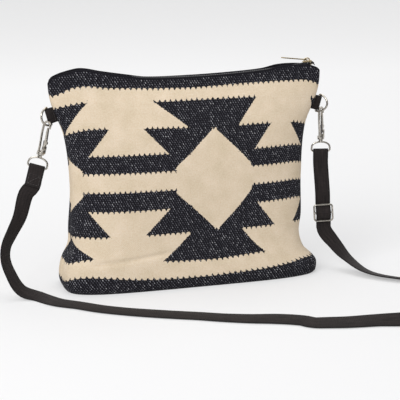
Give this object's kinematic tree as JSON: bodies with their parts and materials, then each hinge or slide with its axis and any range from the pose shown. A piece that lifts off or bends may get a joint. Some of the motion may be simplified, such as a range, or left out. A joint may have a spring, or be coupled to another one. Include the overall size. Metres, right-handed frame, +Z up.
{
  "type": "crossbody bag",
  "caption": "Flat woven cotton crossbody bag with a stepped diamond pattern, zipped mouth, side rings with swivel snap hooks, and a long webbing strap with a slide adjuster.",
  "frame": {"origin": "on the surface the bag stands on, below the middle of the mouth", "axes": "+X to the viewer's right across the bag, +Y from the front panel to the back one, +Z up"},
  "size_m": [0.5941, 0.2581, 0.2175],
  "materials": {
    "woven_cotton": "heavy jacquard weave, cream and black",
    "lining_cotton": "plain weave",
    "zip_tape": "herringbone tape",
    "zip_nylon": "moulded nylon",
    "pale_gold": "plated, satin",
    "black_webbing": "flat woven webbing",
    "nickel": "nickel plate, polished",
    "spring_steel": "bare"
  },
  "bodies": {
    "root": {"woven_shell": "woven_cotton", "cotton_lining": "lining_cotton", "zip_tape_front": "zip_tape", "zip_tape_back": "zip_tape", "zip_comb_front": "zip_nylon", "zip_comb_back": "zip_nylon", "zip_stop_bottom": "nickel", "zip_stop_top_front": "nickel", "zip_stop_top_back": "nickel", "left_tab": "black_webbing", "right_tab": "black_webbing", "strap_webbing": "black_webbing"},
    "slider": {"zip_slider": "pale_gold"},
    "pull": {"zip_pull": "pale_gold"},
    "left_ring": {"left_d_ring": "nickel"},
    "left_hook": {"left_hook": "nickel", "left_gate_pin": "spring_steel", "left_gate_spring": "spring_steel"},
    "left_gate": {"left_gate": "nickel"},
    "left_eye": {"left_swivel_eye": "nickel"},
    "right_ring": {"right_d_ring": "nickel"},
    "right_hook": {"right_hook": "nickel", "right_gate_pin": "spring_steel", "right_gate_spring": "spring_steel"},
    "right_gate": {"right_gate": "nickel"},
    "right_eye": {"right_swivel_eye": "nickel"},
    "adjuster": {"slide_adjuster": "nickel"}
  },
  "joints": [
    {"name": "zip_slide", "type": "hinge", "parent": "root", "child": "slider", "pos_m": [0, 0, 1.04232], "axis": [0, 1, 0], "range_deg": [0, 15.9], "deforming": ["zip_comb_front", "zip_comb_back"]},
    {"name": "zip_pull_flip", "type": "hinge", "parent": "slider", "child": "pull", "pos_m": [0.12318, 0, 0.21391], "axis": [0, 1, 0], "range_deg": [-15, 156]},
    {"name": "left_ring_swing", "type": "hinge", "parent": "root", "child": "left_ring", "pos_m": [-0.1361, 0, 0.17019], "axis": [-0.2588, 0, 0.9659], "range_deg": [-110, 40], "deforming": ["strap_webbing"]},
    {"name": "left_hook_swing", "type": "hinge", "parent": "left_ring", "child": "left_hook", "pos_m": [-0.13881, -0.00395, 0.16208], "axis": [0.7921, 0.5695, -0.2197], "range_deg": [-45, 30], "deforming": ["strap_webbing"]},
    {"name": "left_gate_open", "type": "hinge", "parent": "left_hook", "child": "left_gate", "pos_m": [-0.14277, -0.00658, 0.14097], "axis": [0.7921, 0.5695, -0.2197], "range_deg": [-12, 0], "stiffness_Nm_per_rad": 0.05, "springref_deg": 17.19, "deforming": ["left_gate_spring"]},
    {"name": "left_eye_swivel", "type": "hinge", "parent": "left_hook", "child": "left_eye", "pos_m": [-0.14976, -0.00395, 0.12257], "axis": [0.2672, 0, 0.9636], "continuous": true, "deforming": ["strap_webbing"]},
    {"name": "right_ring_swing", "type": "hinge", "parent": "root", "child": "right_ring", "pos_m": [0.1361, 0, 0.17019], "axis": [0.2588, 0, 0.9659], "range_deg": [-12, 103], "deforming": ["strap_webbing"]},
    {"name": "right_hook_swing", "type": "hinge", "parent": "right_ring", "child": "right_hook", "pos_m": [0.13783, -0.00491, 0.16234], "axis": [-0.6715, 0.7409, -0.0117], "range_deg": [-45, 25], "deforming": ["strap_webbing"]},
    {"name": "right_gate_open", "type": "hinge", "parent": "right_hook", "child": "right_gate", "pos_m": [0.14057, -0.00276, 0.14099], "axis": [-0.6715, 0.7409, -0.0117], "range_deg": [-12, 0], "stiffness_Nm_per_rad": 0.05, "springref_deg": 17.19, "deforming": ["right_gate_spring"]},
    {"name": "right_eye_swivel", "type": "hinge", "parent": "right_hook", "child": "right_eye", "pos_m": [0.13855, -0.00491, 0.12135], "axis": [-0.0174, 0, 0.9998], "continuous": true, "deforming": ["strap_webbing"]},
    {"name": "adjuster_slide", "type": "slide", "parent": "root", "child": "adjuster", "axis": [-0.0485, 0.0623, 0.9969], "range_m": [-0.02, 0.035], "deforming": ["strap_webbing"]}
  ]
}
